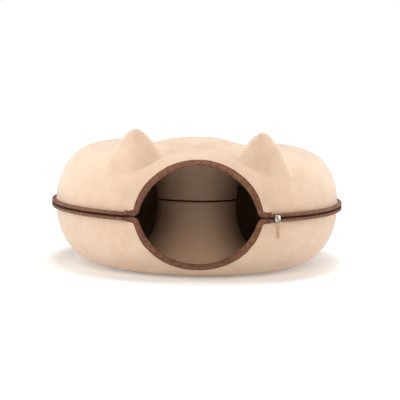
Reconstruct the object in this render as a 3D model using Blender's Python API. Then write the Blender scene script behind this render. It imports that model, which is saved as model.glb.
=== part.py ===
# Pet cave bed: a hollow ring of moulded felt in two halves that zip together round the middle,
# with two moulded ears and a bound entrance at the front. Metres, +Z up. The entrance faces -Y
# and the origin is on the floor under the middle of the bed.

import math

import bmesh
import bpy
from mathutils import Vector

# Felt ring
OUTER_RADIUS = 0.300
HOLE_RADIUS = 0.081
SEAM_HEIGHT = 0.126
TOP_HEIGHT = 0.252
CREST_RADIUS = 0.185
PROFILE_POWER = 2.3
FELT = 0.004
HALF_FELT = FELT / 2
HOLE_GAP = 0.0055
HOLE_SEAM_RISE = 0.0065
HOLE_SEAM_FRONT_RISE = 0.003
FLOOR_PRESS = 0.0015
FLOOR_FLAT = 0.020
AXIS_Y = -0.0150

# Strip that closes the seam round the middle column
STRIP_THICKNESS = 0.0016
STRIP_CLEARANCE = 0.0003
STRIP_STEPS = 48

# Unevenness of the upper half: how its top rises and falls round the ring
BACK_RISE = 0.003
RIGHT_FALL = 0.0070
TOP_CHANGE_POWER = 4
# Each dip is where it lies round the ring in degrees, half its width in degrees, and its depth
TOP_DIPS = ((148, 14, 0.013), (-148, 14, 0.013), (25, 9, 0.009), (-25, 9, 0.004))

# Entrance, seen from the front
ARCH_HALF_WIDTH = 0.1175
ARCH_RISE = 0.100
ARCH_DROP = 0.0945
CORNER_RADIUS = 0.012
EDGE_CLEARANCE = 0.0018
TAIL_LENGTH = 0.010

# Lip that carries the zip
LIP_REACH = 0.0105
LIP_HEIGHT = 0.0049
LIP_FLAT = 0.007
LIP_BEND_OUT = 0.001
LIP_BEND_RISE = 0.0059
LIP_BEND_STRAIGHT = 0.0115
LIP_ROOT = 0.015
TWIST_LENGTH = 0.0025

# Folded tape
TAPE = 0.001
TAPE_GAP = 0.0006
ARCH_TAPE_WIDTH = 0.012
ARCH_TAPE_INSIDE = 0.010
CORNER_TAPE_WIDTH = 0.010
TAIL_TAPE_WIDTH = 0.0078
TAPE_MIDDLE = 0.45
LIP_TAPE_WIDTH = 0.0063

# Zip coil
COIL_HALF_THICKNESS = 0.0010
COIL_INNER = 0.0045
COIL_OUTER = 0.0100

# Ears, measured from the tip of each: forward along the way it faces, and outward along its face
EAR_TIP_X = 0.1265
EAR_TIP_Y = -0.222
LEFT_EAR_TIP_HEIGHT = 0.2900
RIGHT_EAR_TIP_HEIGHT = 0.2835
EAR_TURN = math.radians(20)
EAR_INNER_END = 0.064
EAR_OUTER_END = 0.070
EAR_OUTER_SLOPE = 2.15
EAR_OUTER_ROUND = 0.052
EAR_INNER_SLOPE = 1.7
EAR_INNER_ROUND = 0.052
EAR_OUTER_CURL = 2.8
EAR_INNER_CURL = -3.0
EAR_FACE_DEPTH = 0.020
EAR_FACE_TAPER = 4.5
EAR_FACE_HOLLOW = 0.0
EAR_BACK_LENGTH = 0.062
EAR_BACK_TAPER = 4.0
EAR_CREST_ROUND = 0.14

# Slider and its pull
SLIDER_ANGLE = math.radians(29.4)
SLIDER_WIDTH = 0.0115
SLIDER_HEIGHT = 0.0140
SLIDER_THICKNESS = 0.0026
SLIDER_BEVEL = 0.0008
SLIDER_STANDOFF = 0.0003
BRIDGE_WIDTH = 0.0040
BRIDGE_TOP = 0.0052
BRIDGE_BOTTOM = -0.0030
BRIDGE_REACH = 0.0032
BRIDGE_WALL = 0.0010
LOOP_WIRE = 0.0006
LOOP_HALF_WIDTH = 0.0045
LOOP_LENGTH = 0.0075
LOOP_CORNER = 0.0014
LOOP_PLAY = 0.0003
LOOP_STANDOFF = 0.0004
PULL_WIDTH = 0.0054
PULL_LENGTH = 0.030
PULL_SHEET = 0.0010
PULL_SLIT = 0.0003

# Mesh steps, the small turn that slopes are measured over, and what counts as on the floor
NEAR = 0.002
FLOOR_NEAR = 0.00001
ARCH_STEPS = 10
CORNER_STEPS = 3
TWIST_STEPS = 2
BACK_STEPS = 12
EAR_ZONE_END = math.radians(50)
EDGE_ROWS = (0.0, 0.008, 0.016, 0.026)
CREST_CROWDING = 0.45

FELT_COLOUR = (0.83, 0.66, 0.52, 1.0)
TAPE_COLOUR = (0.20, 0.11, 0.08, 1.0)
COIL_COLOUR = (0.10, 0.06, 0.045, 1.0)
METAL_COLOUR = (0.75, 0.74, 0.72, 1.0)
PULL_COLOUR = (0.60, 0.46, 0.35, 1.0)


def clear_scene():
    for item in list(bpy.data.objects):
        bpy.data.objects.remove(item, do_unlink=True)


def make_material(name, colour, roughness, metallic=0.0):
    material = bpy.data.materials.new(name)
    material.use_nodes = True
    shader = material.node_tree.nodes["Principled BSDF"]
    shader.inputs["Base Color"].default_value = colour
    shader.inputs["Roughness"].default_value = roughness
    shader.inputs["Metallic"].default_value = metallic
    return material


def make_object(name, points, faces, material):
    mesh = bpy.data.meshes.new(name)
    mesh.from_pydata([tuple(point) for point in points], [], faces)
    mesh.materials.append(material)
    work = bmesh.new()
    work.from_mesh(mesh)
    bmesh.ops.recalc_face_normals(work, faces=work.faces)
    work.to_mesh(mesh)
    work.free()
    item = bpy.data.objects.new(name, mesh)
    bpy.context.collection.objects.link(item)
    return item


def smoothstep(value):
    value = min(max(value, 0.0), 1.0)
    return value * value * (3 - 2 * value)


class Half:
    """One moulded half of the ring, seen from one side: 1 is the right side and -1 the left.

    Heights in it are measured away from the zip line, and angles away from the entrance."""

    def __init__(self, sign, height, opening, has_ears, ear_steps, outer_rows, inner_rows, side):
        self.sign = sign
        self.side = side
        self.height = height
        self.has_ears = has_ears
        self.ear_steps = ear_steps
        self.outer_rows = outer_rows
        self.inner_rows = inner_rows
        self.arch_radius = (ARCH_HALF_WIDTH ** 2 + opening ** 2) / (2 * opening)
        self.arch_centre = opening - self.arch_radius


UPPER_HEIGHT = TOP_HEIGHT - SEAM_HEIGHT - HALF_FELT
LOWER_HEIGHT = SEAM_HEIGHT - HALF_FELT + FLOOR_PRESS
UPPER = [Half(1, UPPER_HEIGHT, ARCH_RISE, True, 9, 14, 5, side) for side in (1, -1)]
LOWER = [Half(-1, LOWER_HEIGHT, ARCH_DROP, False, 3, 6, 5, side) for side in (1, -1)]

WALL_RADIUS = OUTER_RADIUS - HALF_FELT
OUTER_REACH = WALL_RADIUS - CREST_RADIUS
INNER_REACH = CREST_RADIUS - HOLE_RADIUS - HALF_FELT


def profile(half, angle):
    """Radius and height of the felt's middle layer. The angle is 0 at the zip, pi at the hole."""
    across = math.cos(angle)
    up = math.sin(angle)
    reach = OUTER_REACH if across > 0 else INNER_REACH
    total = abs(across / reach) ** PROFILE_POWER + abs(up / half.height) ** PROFILE_POWER
    length = total ** (-1 / PROFILE_POWER)
    return CREST_RADIUS + length * across, length * up


def wall_radius(half, height):
    """Radius of the outer wall's middle layer at a height from the zip line."""
    rest = 1 - (height / half.height) ** PROFILE_POWER
    return CREST_RADIUS + OUTER_REACH * rest ** (1 / PROFILE_POWER)


def top_change(theta):
    """How much the top of the upper half lies over or under its even height at this angle."""
    degrees = math.degrees(math.atan2(math.sin(theta), math.cos(theta)))
    change = BACK_RISE * (1 - math.cos(theta)) / 2 - RIGHT_FALL * max(math.sin(theta), 0.0) ** 2
    for place_round, width, depth in TOP_DIPS:
        change -= depth * math.exp(-((degrees - place_round) / width) ** 2)
    return change


def top_at(radius):
    """Height over the floor of the upper half's middle layer at a radius from the axis."""
    across = radius - CREST_RADIUS
    reach = OUTER_REACH if across > 0 else INNER_REACH
    rest = max(1 - (abs(across) / reach) ** PROFILE_POWER, 0.0)
    return SEAM_HEIGHT + UPPER_HEIGHT * rest ** (1 / PROFILE_POWER)


def ear_lift(x, y):
    """How far the ear over this point raises the upper half."""
    tip_height = LEFT_EAR_TIP_HEIGHT if x < 0 else RIGHT_EAR_TIP_HEIGHT
    tip_height -= HALF_FELT
    from_x = abs(x) - EAR_TIP_X
    from_y = y - EAR_TIP_Y
    forward = from_x * math.sin(EAR_TURN) - from_y * math.cos(EAR_TURN)
    outward = from_x * math.cos(EAR_TURN) + from_y * math.sin(EAR_TURN)
    if outward > EAR_OUTER_END or outward < -EAR_INNER_END:
        return 0.0
    if outward > 0:
        slope, rounding, curl = EAR_OUTER_SLOPE, EAR_OUTER_ROUND, EAR_OUTER_CURL
    else:
        slope, rounding, curl = EAR_INNER_SLOPE, EAR_INNER_ROUND, EAR_INNER_CURL
    crest_forward = curl * outward ** 2
    crest_x = EAR_TIP_X + crest_forward * math.sin(EAR_TURN) + outward * math.cos(EAR_TURN)
    crest_y = EAR_TIP_Y - crest_forward * math.cos(EAR_TURN) + outward * math.sin(EAR_TURN)
    crest_height = tip_height - (math.hypot(rounding, slope * outward) - rounding)
    crest_theta = math.atan2(math.copysign(crest_x, x), -crest_y)
    lift = crest_height - top_at(math.hypot(crest_x, crest_y)) - top_change(crest_theta)
    if lift <= 0:
        return 0.0
    ahead = forward - crest_forward
    if ahead > 0:
        length = EAR_FACE_DEPTH - EAR_FACE_TAPER * outward ** 2
        part = ahead / length
        part = math.hypot(part, EAR_CREST_ROUND) - EAR_CREST_ROUND
        shape = (1 - part) * (1 - EAR_FACE_HOLLOW * part)
    else:
        length = EAR_BACK_LENGTH - EAR_BACK_TAPER * outward ** 2
        part = -ahead / length
        part = math.hypot(part, EAR_CREST_ROUND) - EAR_CREST_ROUND
        shape = (1 - part) ** 2
    if part >= 1:
        return 0.0
    return lift * shape


def place(half, theta, radius, height):
    """World point. Theta turns from the entrance (-Y) towards the half's side."""
    x = half.side * radius * math.sin(theta)
    y = -radius * math.cos(theta)
    z = SEAM_HEIGHT + half.sign * height
    if half.has_ears:
        z += top_change(half.side * theta) * max(height / half.height, 0.0) ** TOP_CHANGE_POWER
        if height > LIP_ROOT:
            z += ear_lift(x, y)
    else:
        z = max(z, HALF_FELT)
    return Vector((x, y + AXIS_Y, z))


def surface(half, theta, angle):
    radius, height = profile(half, angle)
    return place(half, theta, radius, height)


def surface_normal(half, theta, angle):
    around = surface(half, theta + NEAR, angle) - surface(half, theta - NEAR, angle)
    along = surface(half, theta, angle + NEAR) - surface(half, theta, angle - NEAR)
    return around.cross(along).normalized() * half.sign * half.side


def angle_at(half, height):
    return math.atan2(height, wall_radius(half, height) - CREST_RADIUS)


def entrance_edge(half):
    """The felt's edge from the middle of the arch to the end of the tail, as x and height."""
    centre_height = EDGE_CLEARANCE + CORNER_RADIUS
    span = half.arch_radius + CORNER_RADIUS
    centre_x = math.sqrt(span ** 2 - (centre_height - half.arch_centre) ** 2)
    last = math.atan2(centre_height - half.arch_centre, centre_x)
    edge = []
    for step in range(ARCH_STEPS + 1):
        turn = math.pi / 2 + (last - math.pi / 2) * step / ARCH_STEPS
        edge.append((half.arch_radius * math.cos(turn),
                     half.arch_centre + half.arch_radius * math.sin(turn)))
    first = last - math.pi
    for step in range(1, CORNER_STEPS + 1):
        turn = first + (-math.pi / 2 - first) * step / CORNER_STEPS
        edge.append((centre_x + CORNER_RADIUS * math.cos(turn),
                     centre_height + CORNER_RADIUS * math.sin(turn)))
    edge.append((centre_x + TAIL_LENGTH, EDGE_CLEARANCE))
    return edge


def edge_theta(half, x, height):
    return math.asin(x / wall_radius(half, height))


def lip_turns(half):
    """Angles round the ring behind the tail, each with how far the lip has turned outward."""
    start = edge_theta(half, *entrance_edge(half)[-1])
    turns = []
    for step in range(1, TWIST_STEPS + 1):
        part = step / TWIST_STEPS
        turns.append((start + part * TWIST_LENGTH / WALL_RADIUS, math.pi / 2 * part))
    twist_end = turns[-1][0]
    for step in range(1, half.ear_steps + 1):
        part = step / half.ear_steps
        turns.append((twist_end + (EAR_ZONE_END - twist_end) * part, math.pi / 2))
    for step in range(1, BACK_STEPS + 1):
        turns.append((EAR_ZONE_END + (math.pi - EAR_ZONE_END) * step / BACK_STEPS, math.pi / 2))
    return turns


def lip_edge(turn):
    """Radius and height of the lip's edge at this turn, and which way its edge points."""
    radius = WALL_RADIUS + LIP_REACH * math.sin(turn)
    height = EDGE_CLEARANCE + (LIP_HEIGHT - EDGE_CLEARANCE) * (1 - math.cos(turn))
    return radius, height, (math.sin(turn), -math.cos(turn))


def direction(half, theta, out, up):
    across = half.side * out * math.sin(theta)
    return Vector((across, -out * math.cos(theta), half.sign * up)).normalized()


def lip_start(half, theta, turn):
    """The felt's first four points from the lip's edge to the wall, and their normals."""
    radius, height, (out, up) = lip_edge(turn)
    bend_height = LIP_BEND_STRAIGHT + (LIP_BEND_RISE - LIP_BEND_STRAIGHT) * math.sin(turn)
    points = [place(half, theta, radius, height),
              place(half, theta, radius - LIP_FLAT * out, height - LIP_FLAT * up),
              place(half, theta, WALL_RADIUS + LIP_BEND_OUT * math.sin(turn), bend_height),
              place(half, theta, wall_radius(half, LIP_ROOT), LIP_ROOT)]
    flat = direction(half, theta, -up, out)
    wall = direction(half, theta, 1, 0)
    return points, [flat, flat, (flat + wall).normalized(), wall]


def row_reach(number):
    """How far the felt's first rows reach in this column: less at the tail, to meet the lip's."""
    at_tail = (LIP_ROOT - EDGE_CLEARANCE) / EDGE_ROWS[-1]
    return 1 + (at_tail - 1) * smoothstep((number - ARCH_STEPS) / (CORNER_STEPS + 1))


def arch_start(half, theta, angle, reach):
    """The felt's first four points above the entrance, their normals, and the last one's angle."""
    radius, height = profile(half, angle)
    near_radius, near_height = profile(half, angle + NEAR)
    per_length = NEAR / math.hypot(near_radius - radius, near_height - height)
    angles = [angle + per_length * distance * reach for distance in EDGE_ROWS]
    return ([surface(half, theta, row) for row in angles],
            [surface_normal(half, theta, row) for row in angles], angles[-1])


def hole_seam(theta):
    """Height of the seam in the hole over the zip line."""
    return HOLE_SEAM_RISE + HOLE_SEAM_FRONT_RISE * math.cos(theta)


def hole_end_angle(half, theta):
    """Profile angle at the half's edge in the hole."""
    return math.pi - math.atan2(hole_seam(theta) * half.sign + HOLE_GAP / 2, INNER_REACH)


def crest_angles(half):
    """Profile angles where the wall from outside ends and the wall to the hole begins.

    The upper half's meet on the crest, and the lower half's have its flat foot between them."""
    if half.has_ears:
        return math.pi / 2, math.pi / 2
    ends = []
    for reach in (OUTER_REACH, -INNER_REACH):
        rest = 1 - (FLOOR_FLAT / abs(reach)) ** PROFILE_POWER
        height = half.height * rest ** (1 / PROFILE_POWER)
        ends.append(math.atan2(height, math.copysign(FLOOR_FLAT, reach)))
    return ends


def wall_column(half, theta, start, spread_theta):
    """Points of one column from the profile angle start over the crest to the hole."""
    hole_end = hole_end_angle(half, spread_theta)
    crest, hole_start = crest_angles(half)
    points = []
    for row in range(1, half.outer_rows + 1):
        part = row / half.outer_rows
        crowded = part + CREST_CROWDING * math.sin(2 * math.pi * part) / (2 * math.pi)
        angle = start + (crest - start) * crowded
        points.append(surface(half, theta + (spread_theta - theta) * smoothstep(part), angle))
    for row in range(1 if half.has_ears else 0, half.inner_rows + 1):
        angle = hole_start + (hole_end - hole_start) * row / half.inner_rows
        points.append(surface(half, spread_theta, angle))
    return points


def side_columns(half):
    """Columns of the felt's middle layer from the middle of the arch round to the back.

    Each is its points and the normals of its first points."""
    starts = []
    for x, height in entrance_edge(half):
        starts.append((edge_theta(half, x, height), angle_at(half, height), None))
    for theta, turn in lip_turns(half):
        starts.append((theta, angle_at(half, LIP_ROOT), turn))
    near = len(starts) - BACK_STEPS
    columns = []
    for number, (theta, angle, turn) in enumerate(starts):
        spread = EAR_ZONE_END * number / (near - 1) if number < near else theta
        if turn is None:
            first, normals, root = arch_start(half, theta, angle, row_reach(number))
        else:
            first, normals = lip_start(half, theta, turn)
            root = angle
        columns.append((first + wall_column(half, theta, root, spread), normals))
    return columns


def felt_half(name, sides, material):
    right, left = [side_columns(half) for half in sides]
    columns = right + left[-2:0:-1]
    count = len(columns)
    rows = len(columns[0][0])
    normals = grid_normals(sides[0], columns)
    points = []
    for side in (HALF_FELT, -HALF_FELT):
        for column in range(count):
            for row in range(rows):
                points.append(columns[column][0][row] + normals[column][row] * side)
    faces = []
    layer = count * rows
    for column in range(count):
        near = column * rows
        far = (column + 1) % count * rows
        for row in range(rows - 1):
            faces.append((near + row, far + row, far + row + 1, near + row + 1))
            faces.append((layer + near + row, layer + near + row + 1,
                          layer + far + row + 1, layer + far + row))
        for row in (0, rows - 1):
            faces.append((near + row, layer + near + row, layer + far + row, far + row))
    return make_object(name, points, faces, material)


def grid_normals(half, columns):
    """Outward normal of the middle layer at each grid point."""
    count = len(columns)
    normals = []
    for column in range(count):
        points, first = columns[column]
        before = columns[column - 1][0]
        after = columns[(column + 1) % count][0]
        line = list(first)
        for row in range(len(first), len(points)):
            if points[row].z < HALF_FELT + FLOOR_NEAR:
                line.append(Vector((0, 0, half.sign)))
                continue
            around = after[row] - before[row]
            along = (points[row] - points[row - 1]).normalized()
            if row < len(points) - 1:
                along += (points[row + 1] - points[row]).normalized()
            line.append(around.cross(along).normalized() * half.sign)
        normals.append(line)
    return normals


def tape_section(width, inside, middle):
    """Cross-section of a tape folded over the felt: distance past the edge, and across the felt.

    Middle is where each leg has an extra point that lets it bend, or None for a straight leg."""
    near = HALF_FELT + TAPE_GAP
    far = near + TAPE
    end = TAPE_GAP + TAPE
    section = [(-width, near), (-width, far), (0.0, far), (end, HALF_FELT / 2),
               (end, -HALF_FELT / 2), (0.0, -far), (-inside, -far), (-inside, -near),
               (TAPE_GAP, -near), (TAPE_GAP, near)]
    if middle:
        section.insert(10, (-width * middle, near))
        section.insert(8, (-inside * middle, -near))
        section.insert(6, (-inside * middle, -far))
        section.insert(2, (-width * middle, far))
    return section


def sweep(name, rings, closed, material):
    count = len(rings)
    size = len(rings[0])
    points = [point for ring in rings for point in ring]
    faces = []
    for ring in range(count if closed else count - 1):
        near = ring * size
        far = (ring + 1) % count * size
        for side in range(size):
            after = (side + 1) % size
            faces.append((near + side, near + after, far + after, far + side))
    if not closed:
        faces.append(tuple(range(size)))
        faces.append(tuple(reversed(range((count - 1) * size, count * size))))
    return make_object(name, points, faces, material)


def felt_at(half, point):
    """The felt's middle layer nearest to a point beside it, and its normal."""
    x = point.x
    y = point.y - AXIS_Y
    theta = math.atan2(x * half.side, -y)
    height = (point.z - SEAM_HEIGHT) * half.sign
    angle = math.atan2(height, math.hypot(x, y) - CREST_RADIUS)
    return surface(half, theta, angle), surface_normal(half, theta, angle)


def arch_rings(half):
    """Rings of the arch's binding on one side, from the middle to the end of the tail."""
    edge = entrance_edge(half)
    places = []
    for x, height in edge:
        places.append(surface(half, edge_theta(half, x, height), angle_at(half, height)))
    rings = []
    for number, place_here in enumerate(places):
        before = places[number - 1] if number else places[0]
        after = places[min(number + 1, len(places) - 1)]
        tangent = (after - before).normalized() if number else Vector((half.side, 0, 0))
        _, normal = felt_at(half, place_here)
        past = tangent.cross(normal) * half.sign * half.side
        narrowing = smoothstep((number - ARCH_STEPS + 3) / 3)
        width = ARCH_TAPE_WIDTH + (CORNER_TAPE_WIDTH - ARCH_TAPE_WIDTH) * narrowing
        if number == len(places) - 1:
            width = TAIL_TAPE_WIDTH
        ring = []
        for along, across in tape_section(width, min(width, ARCH_TAPE_INSIDE), TAPE_MIDDLE):
            if along < 0:
                base, base_normal = felt_at(half, place_here + past * along)
                ring.append(base + base_normal * across)
            else:
                ring.append(place_here + past * along + normal * across)
        rings.append(ring)
    return rings


def arch_binding(name, sides, material):
    right, left = [arch_rings(half) for half in sides]
    return sweep(name, left[:0:-1] + right, False, material)


def lip_rings(half, section):
    """Rings along the lip, from behind the tail to the back: each place in the section is a
    distance past the lip's edge and a height from the lip's middle."""
    rings = []
    for theta, turn in lip_turns(half)[TWIST_STEPS - 1:]:
        radius, height, _ = lip_edge(turn)
        rings.append([place(half, theta, radius + along, height + across)
                      for along, across in section])
    return rings


def zip_tape(name, sides, material):
    section = tape_section(LIP_TAPE_WIDTH, LIP_TAPE_WIDTH, None)
    right, left = [lip_rings(half, section) for half in sides]
    return sweep(name, right + left[-2::-1], False, material)


def zip_coil(material):
    inner = COIL_INNER - LIP_REACH
    outer = COIL_OUTER - LIP_REACH
    top = -LIP_HEIGHT - COIL_HALF_THICKNESS
    bottom = -LIP_HEIGHT + COIL_HALF_THICKNESS
    section = [(inner, top), (outer, top), (outer, bottom), (inner, bottom)]
    right, left = [lip_rings(half, section) for half in LOWER]
    return sweep("zip_coil", right + left[-2::-1], False, material)


def hole_seam_strip(material):
    half_height = HOLE_GAP / 2 - STRIP_CLEARANCE
    inner = HOLE_RADIUS + HALF_FELT - STRIP_THICKNESS / 2
    outer = inner + STRIP_THICKNESS
    rings = []
    for step in range(STRIP_STEPS):
        theta = 2 * math.pi * step / STRIP_STEPS
        low = SEAM_HEIGHT + hole_seam(theta) - half_height
        high = SEAM_HEIGHT + hole_seam(theta) + half_height
        ring = []
        for radius, height in ((inner, low), (outer, low), (outer, high), (inner, high)):
            ring.append((radius * math.sin(theta), AXIS_Y - radius * math.cos(theta), height))
        rings.append(ring)
    return sweep("hole_seam_strip", rings, True, material)


def slider_point(across, out, up):
    """World point beside the slider: across along the zip, out from the axis, up from the zip."""
    theta = SLIDER_ANGLE
    radius = WALL_RADIUS + LIP_REACH + TAPE_GAP + TAPE + SLIDER_STANDOFF + out
    x = radius * math.sin(theta) + across * math.cos(theta)
    y = -radius * math.cos(theta) + across * math.sin(theta)
    return Vector((x, y + AXIS_Y, SEAM_HEIGHT + up))


def slider_block(name, outline, width, material):
    """A solid with this outline of out and up, and the width along the zip."""
    points = []
    for side in (-width / 2, width / 2):
        for out, up in outline:
            points.append(slider_point(side, out, up))
    size = len(outline)
    faces = [tuple(range(size)), tuple(reversed(range(size, 2 * size)))]
    for corner in range(size):
        after = (corner + 1) % size
        faces.append((corner, after, size + after, size + corner))
    return make_object(name, points, faces, material)


def slider(material):
    half_height = SLIDER_HEIGHT / 2
    plate = [(0.0, -half_height), (SLIDER_THICKNESS, -half_height),
             (SLIDER_THICKNESS, half_height), (0.0, half_height)]
    body = slider_block("zip_slider", plate, SLIDER_WIDTH, material)
    bevel = body.modifiers.new("Rounded edges", "BEVEL")
    bevel.width = SLIDER_BEVEL
    bevel.segments = 2
    root = SLIDER_THICKNESS - BRIDGE_WALL
    top = SLIDER_THICKNESS + BRIDGE_REACH
    under = top - BRIDGE_WALL
    hook = [(root, BRIDGE_BOTTOM), (top, BRIDGE_BOTTOM), (top, BRIDGE_TOP), (root, BRIDGE_TOP),
            (root, BRIDGE_TOP - BRIDGE_WALL), (under, BRIDGE_TOP - BRIDGE_WALL),
            (under, BRIDGE_BOTTOM + BRIDGE_WALL), (root, BRIDGE_BOTTOM + BRIDGE_WALL)]
    bridge = slider_block("slider_bridge_tool", hook, BRIDGE_WIDTH, material)
    bridge.hide_render = True
    bridge.display_type = "WIRE"
    union = body.modifiers.new("Bridge", "BOOLEAN")
    union.operation = "UNION"
    union.object = bridge
    return body


def loop_path():
    """Middle line of the wire loop: a rectangle with round corners, as across and up."""
    top = BRIDGE_BOTTOM + BRIDGE_WALL + LOOP_WIRE + LOOP_PLAY
    bottom = top - LOOP_LENGTH
    inset = LOOP_HALF_WIDTH - LOOP_CORNER
    corners = [(inset, top - LOOP_CORNER, 0.0), (-inset, top - LOOP_CORNER, 90.0),
               (-inset, bottom + LOOP_CORNER, 180.0), (inset, bottom + LOOP_CORNER, 270.0)]
    path = []
    for across, up, start in corners:
        for step in range(4):
            turn = math.radians(start + 30 * step)
            path.append((across + LOOP_CORNER * math.cos(turn), up + LOOP_CORNER * math.sin(turn)))
    return path


LOOP_OUT = SLIDER_THICKNESS + LOOP_WIRE + LOOP_STANDOFF


def slider_loop(material):
    path = loop_path()
    count = len(path)
    rings = []
    for number, (across, up) in enumerate(path):
        ahead = path[(number + 1) % count]
        behind = path[number - 1]
        direction = Vector((ahead[0] - behind[0], ahead[1] - behind[1])).normalized()
        ring = []
        for side in range(8):
            turn = 2 * math.pi * side / 8
            shift = LOOP_WIRE * math.cos(turn)
            ring.append(slider_point(across + shift * direction.y,
                                     LOOP_OUT + LOOP_WIRE * math.sin(turn),
                                     up - shift * direction.x))
        rings.append(ring)
    return sweep("slider_loop", rings, True, material)


def pull_strip(material):
    """A strip folded over the loop's lower bar, its two layers hanging together."""
    bar_up = min(up for _, up in loop_path())
    inner = LOOP_WIRE + PULL_SLIT
    outer = inner + PULL_SHEET
    slit = PULL_SLIT / 2
    join_up = bar_up - 3 * LOOP_WIRE
    end_up = bar_up - PULL_LENGTH
    outline = [(-slit, end_up), (-slit - PULL_SHEET, end_up), (-slit - PULL_SHEET, join_up)]
    for turn in range(180, -1, -30):
        outline.append((outer * math.cos(math.radians(turn)),
                        bar_up + outer * math.sin(math.radians(turn))))
    outline += [(slit + PULL_SHEET, join_up), (slit + PULL_SHEET, end_up), (slit, end_up)]
    outline.append((slit, join_up))
    for turn in range(0, 181, 30):
        outline.append((inner * math.cos(math.radians(turn)),
                        bar_up + inner * math.sin(math.radians(turn))))
    outline.append((-slit, join_up))
    outline = [(LOOP_OUT + out, up) for out, up in outline]
    return slider_block("slider_pull", outline, PULL_WIDTH, material)


def build():
    clear_scene()
    felt = make_material("felt", FELT_COLOUR, 0.95)
    tape = make_material("tape", TAPE_COLOUR, 0.85)
    coil = make_material("coil", COIL_COLOUR, 0.6)
    metal = make_material("metal", METAL_COLOUR, 0.3, 1.0)
    pull = make_material("pull", PULL_COLOUR, 0.9)
    felt_half("upper_half", UPPER, felt)
    felt_half("lower_half", LOWER, felt)
    arch_binding("upper_arch_binding", UPPER, tape)
    arch_binding("lower_arch_binding", LOWER, tape)
    zip_tape("upper_zip_tape", UPPER, tape)
    zip_tape("lower_zip_tape", LOWER, tape)
    zip_coil(coil)
    hole_seam_strip(coil)
    slider(metal)
    slider_loop(metal)
    pull_strip(pull)


build()
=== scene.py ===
# Pet cave bed, dressed: moulded felt, folded woven tape, stitches, zip coil, slider and pull strip.
# Metres, +Z up. The entrance faces -Y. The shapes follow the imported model's, in finer steps.

import math

import bmesh
import bpy
from mathutils import Matrix, Vector, noise


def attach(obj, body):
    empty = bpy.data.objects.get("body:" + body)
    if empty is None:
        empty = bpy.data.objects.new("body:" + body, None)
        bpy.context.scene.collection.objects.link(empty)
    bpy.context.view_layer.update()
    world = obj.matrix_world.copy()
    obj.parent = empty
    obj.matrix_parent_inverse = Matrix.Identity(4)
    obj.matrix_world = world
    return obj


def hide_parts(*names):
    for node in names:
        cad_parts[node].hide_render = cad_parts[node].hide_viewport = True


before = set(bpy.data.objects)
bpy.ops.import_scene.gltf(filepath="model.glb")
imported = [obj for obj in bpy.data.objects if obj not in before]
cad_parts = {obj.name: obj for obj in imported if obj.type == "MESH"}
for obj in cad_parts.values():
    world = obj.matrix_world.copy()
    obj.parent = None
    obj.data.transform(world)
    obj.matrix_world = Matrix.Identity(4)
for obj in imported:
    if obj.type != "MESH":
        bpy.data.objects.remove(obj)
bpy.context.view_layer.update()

# Felt ring
OUTER_RADIUS = 0.300
HOLE_RADIUS = 0.081
SEAM_HEIGHT = 0.126
TOP_HEIGHT = 0.252
CREST_RADIUS = 0.185
PROFILE_POWER = 2.3
FELT = 0.004
HALF_FELT = FELT / 2
HOLE_GAP = 0.0055
RIM_ROUND = 0.001
RIM_DEGREES = (60, 30, 0, -30, -60)
HOLE_SEAM_RISE = 0.0065
HOLE_SEAM_FRONT_RISE = 0.003
FLOOR_PRESS = 0.0015
FLOOR_FLAT = 0.020
FOOT_ZONE = 2 * FELT
AXIS_Y = -0.0150

# Unevenness of the upper half: how its top rises and falls round the ring
BACK_RISE = 0.003
RIGHT_FALL = 0.0070
TOP_CHANGE_POWER = 4
# Each dip is where it lies round the ring in degrees, half its width in degrees, and its depth
TOP_DIPS = ((148, 14, 0.013), (-148, 14, 0.013), (25, 9, 0.009), (-25, 9, 0.004))

# Soft waves of the moulded felt: height, size, and how far from an edge they begin
WAVE = 0.0011
WAVE_SIZE = 0.085
WAVE_START = 0.030
WAVE_FULL = 0.075

# Entrance, seen from the front
ARCH_HALF_WIDTH = 0.1175
ARCH_RISE = 0.100
ARCH_DROP = 0.0945
CORNER_RADIUS = 0.012
EDGE_CLEARANCE = 0.0018
TAIL_LENGTH = 0.010

# Lip that carries the zip
LIP_REACH = 0.0105
LIP_HEIGHT = 0.0049
LIP_FLAT = 0.007
LIP_BEND_OUT = 0.001
LIP_BEND_RISE = 0.0059
LIP_BEND_STRAIGHT = 0.0115
LIP_ROOT = 0.015
TWIST_LENGTH = 0.0025

# Folded tape: its sizes, the shape of its cross-section, and how unevenly it lies
TAPE = 0.001
TAPE_GAP = 0.0003
ARCH_TAPE_WIDTH = 0.012
ARCH_TAPE_INSIDE = 0.010
CORNER_TAPE_WIDTH = 0.010
TAIL_TAPE_WIDTH = 0.0078
LIP_TAPE_WIDTH = 0.0066
JOINT_TAPE_WIDTH = 0.0078
LEG_PARTS = (0.12, 0.3, 0.5, 0.7, 0.85, 0.97)
LEG_BULGE = 0.00012
LEG_END_ROUND = TAPE / 2 * 0.4
FOLD_SHARE = 0.3
FOLD_DEGREES = (75, 50, 25, 0, -25, -50, -75)
LINING_PARTS = (0.2, 0.6, 0.97)
LINING_DEGREES = (-60, 0, 60)
TAPE_WOBBLE = 0.00035
TAPE_WOBBLE_SIZE = 0.011
ARCH_WIDTH_WOBBLE = 2.2
ARCH_LIFT_SEED = 5
LIP_LIFT_SEED = 7
# How far the zip tape's end draws in where it goes under its neighbours
JOINT_UNDER = 0.93

# Ears, measured from the tip of each: forward along the way it faces, and outward along its face
EAR_TIP_X = 0.1265
EAR_TIP_Y = -0.222
LEFT_EAR_TIP_HEIGHT = 0.2900
RIGHT_EAR_TIP_HEIGHT = 0.2835
EAR_SIN = math.sin(math.radians(20))
EAR_COS = math.cos(math.radians(20))
EAR_INNER_END = 0.064
EAR_OUTER_END = 0.070
EAR_CREST_ROUND = 0.14
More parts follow.
